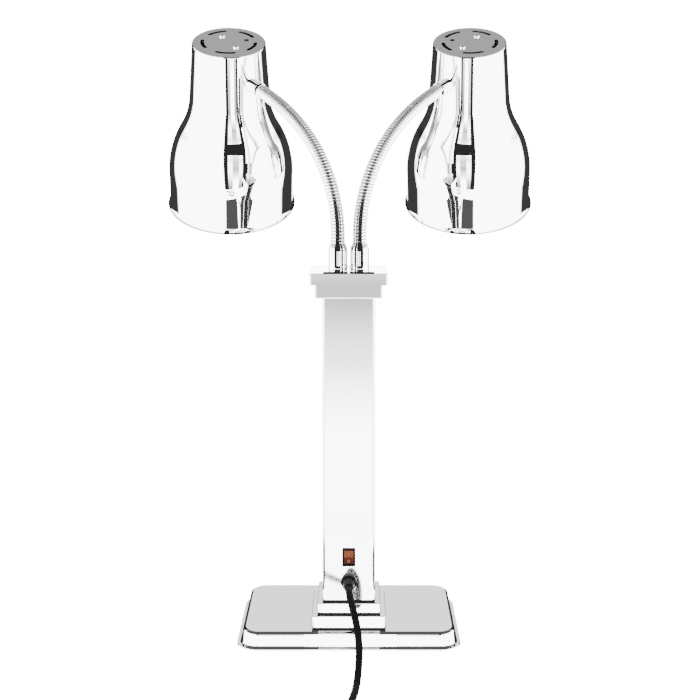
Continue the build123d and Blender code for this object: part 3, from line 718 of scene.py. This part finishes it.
def make_world():
    """White to the eye; polished surfaces see white walls with dark gaps and a greyer ceiling."""
    world = bpy.data.worlds.new("studio")
    bpy.context.scene.world = world
    world.use_nodes = True
    tree = world.node_tree
    tree.nodes.clear()
    link = tree.links.new

    def math_node(operation, first, second=None):
        node = tree.nodes.new("ShaderNodeMath")
        node.operation = operation
        link(first, node.inputs[0])
        if isinstance(second, float):
            node.inputs[1].default_value = second
        elif second is not None:
            link(second, node.inputs[1])
        return node.outputs[0]

    def rise(low, high, below, above):
        node = tree.nodes.new("ShaderNodeMapRange")
        node.inputs["From Min"].default_value = low
        node.inputs["From Max"].default_value = high
        node.inputs["To Min"].default_value = below
        node.inputs["To Max"].default_value = above
        link(parts.outputs["Z"], node.inputs["Value"])
        return node.outputs["Result"]

    where = tree.nodes.new("ShaderNodeTexCoord")
    parts = tree.nodes.new("ShaderNodeSeparateXYZ")
    link(where.outputs["Generated"], parts.inputs["Vector"])
    sideways = math_node("ABSOLUTE", parts.outputs["X"])
    toward_camera = math_node("MULTIPLY", parts.outputs["Y"], -1.0)
    compass = math_node("ARCTAN2", sideways, toward_camera)
    gaps = level_ramp(tree, GAP_SHARES, 180, 1.0)
    link(math_node("DIVIDE", compass, math.pi), gaps.inputs["Fac"])
    walls = rise(*WALLS_DIM, WALLS, UPPER_WALLS)
    top = rise(*CEILING_STARTS, 0.0, 1.0)
    low_part = math_node("MULTIPLY", walls, gaps.outputs["Color"])
    level = tree.nodes.new("ShaderNodeMix")
    link(top, level.inputs["Factor"])
    link(low_part, level.inputs["A"])
    level.inputs["B"].default_value = CEILING
    seen = tree.nodes.new("ShaderNodeBackground")
    link(level.outputs["Result"], seen.inputs["Strength"])
    plain = tree.nodes.new("ShaderNodeBackground")
    plain.inputs["Color"].default_value = (1, 1, 1, 1)
    plain.inputs["Strength"].default_value = BACKGROUND
    fill = tree.nodes.new("ShaderNodeBackground")
    fill.inputs["Color"].default_value = (1, 1, 1, 1)
    fill.inputs["Strength"].default_value = FILL
    rays = tree.nodes.new("ShaderNodeLightPath")
    by_eye = tree.nodes.new("ShaderNodeMixShader")
    link(rays.outputs["Is Camera Ray"], by_eye.inputs["Fac"])
    link(fill.outputs["Background"], by_eye.inputs[1])
    link(plain.outputs["Background"], by_eye.inputs[2])
    by_gloss = tree.nodes.new("ShaderNodeMixShader")
    link(rays.outputs["Is Glossy Ray"], by_gloss.inputs["Fac"])
    link(by_eye.outputs["Shader"], by_gloss.inputs[1])
    link(seen.outputs["Background"], by_gloss.inputs[2])
    out = tree.nodes.new("ShaderNodeOutputWorld")
    link(by_gloss.outputs["Shader"], out.inputs["Surface"])


def make_floor():
    """A pale floor, lit up like a light table, which polished surfaces don't mirror."""
    reach = FLOOR_REACH
    corners = [(-reach, -reach, 0), (reach, -reach, 0), (reach, reach, 0), (-reach, reach, 0)]
    floor = new_piece("floor", corners, [(0, 1, 2, 3)], flat=True)
    material, shader, add, link = material_graph("floor")
    shader.inputs["Base Color"].default_value = (0.9, 0.9, 0.9, 1)
    shader.inputs["Emission Color"].default_value = (1, 1, 1, 1)
    shader.inputs["Emission Strength"].default_value = BACKGROUND
    link(to_range(add, link, noise(add, link, 3), 0.85, 0.95), shader.inputs["Roughness"])
    set_material(floor, material)
    floor.visible_glossy = False
    floor.visible_diffuse = False


def make_lights():
    """One large soft light overhead, which polished surfaces don't mirror."""
    light = bpy.data.lights.new("overhead", "AREA")
    light.shape = "RECTANGLE"
    light.size, light.size_y = OVERHEAD_SIZE
    light.energy = OVERHEAD_POWER
    lamp = bpy.data.objects.new("overhead", light)
    lamp.location = OVERHEAD_PLACE
    backward = Vector(OVERHEAD_PLACE) - Vector(OVERHEAD_AIM)
    lamp.rotation_euler = backward.to_track_quat("Z", "Y").to_euler()
    lamp.visible_glossy = False
    bpy.context.collection.objects.link(lamp)


# ---------------------------------------------------------------- build
make_camera()
materials = make_materials()
make_cord(materials["cord"])
for kind, names in NODE_MATERIALS.items():
    for node in names:
        set_material(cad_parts[node], materials[kind])
for label, side in SIDES.items():
    darken_inside(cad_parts[f"shade_{label}"], side, materials["inner_shadow_paint"])
    make_neck(label, side, materials["neck"])
make_marks(materials["paint"])
make_world()
make_cards()
make_small_cards()
make_floor()
make_lights()
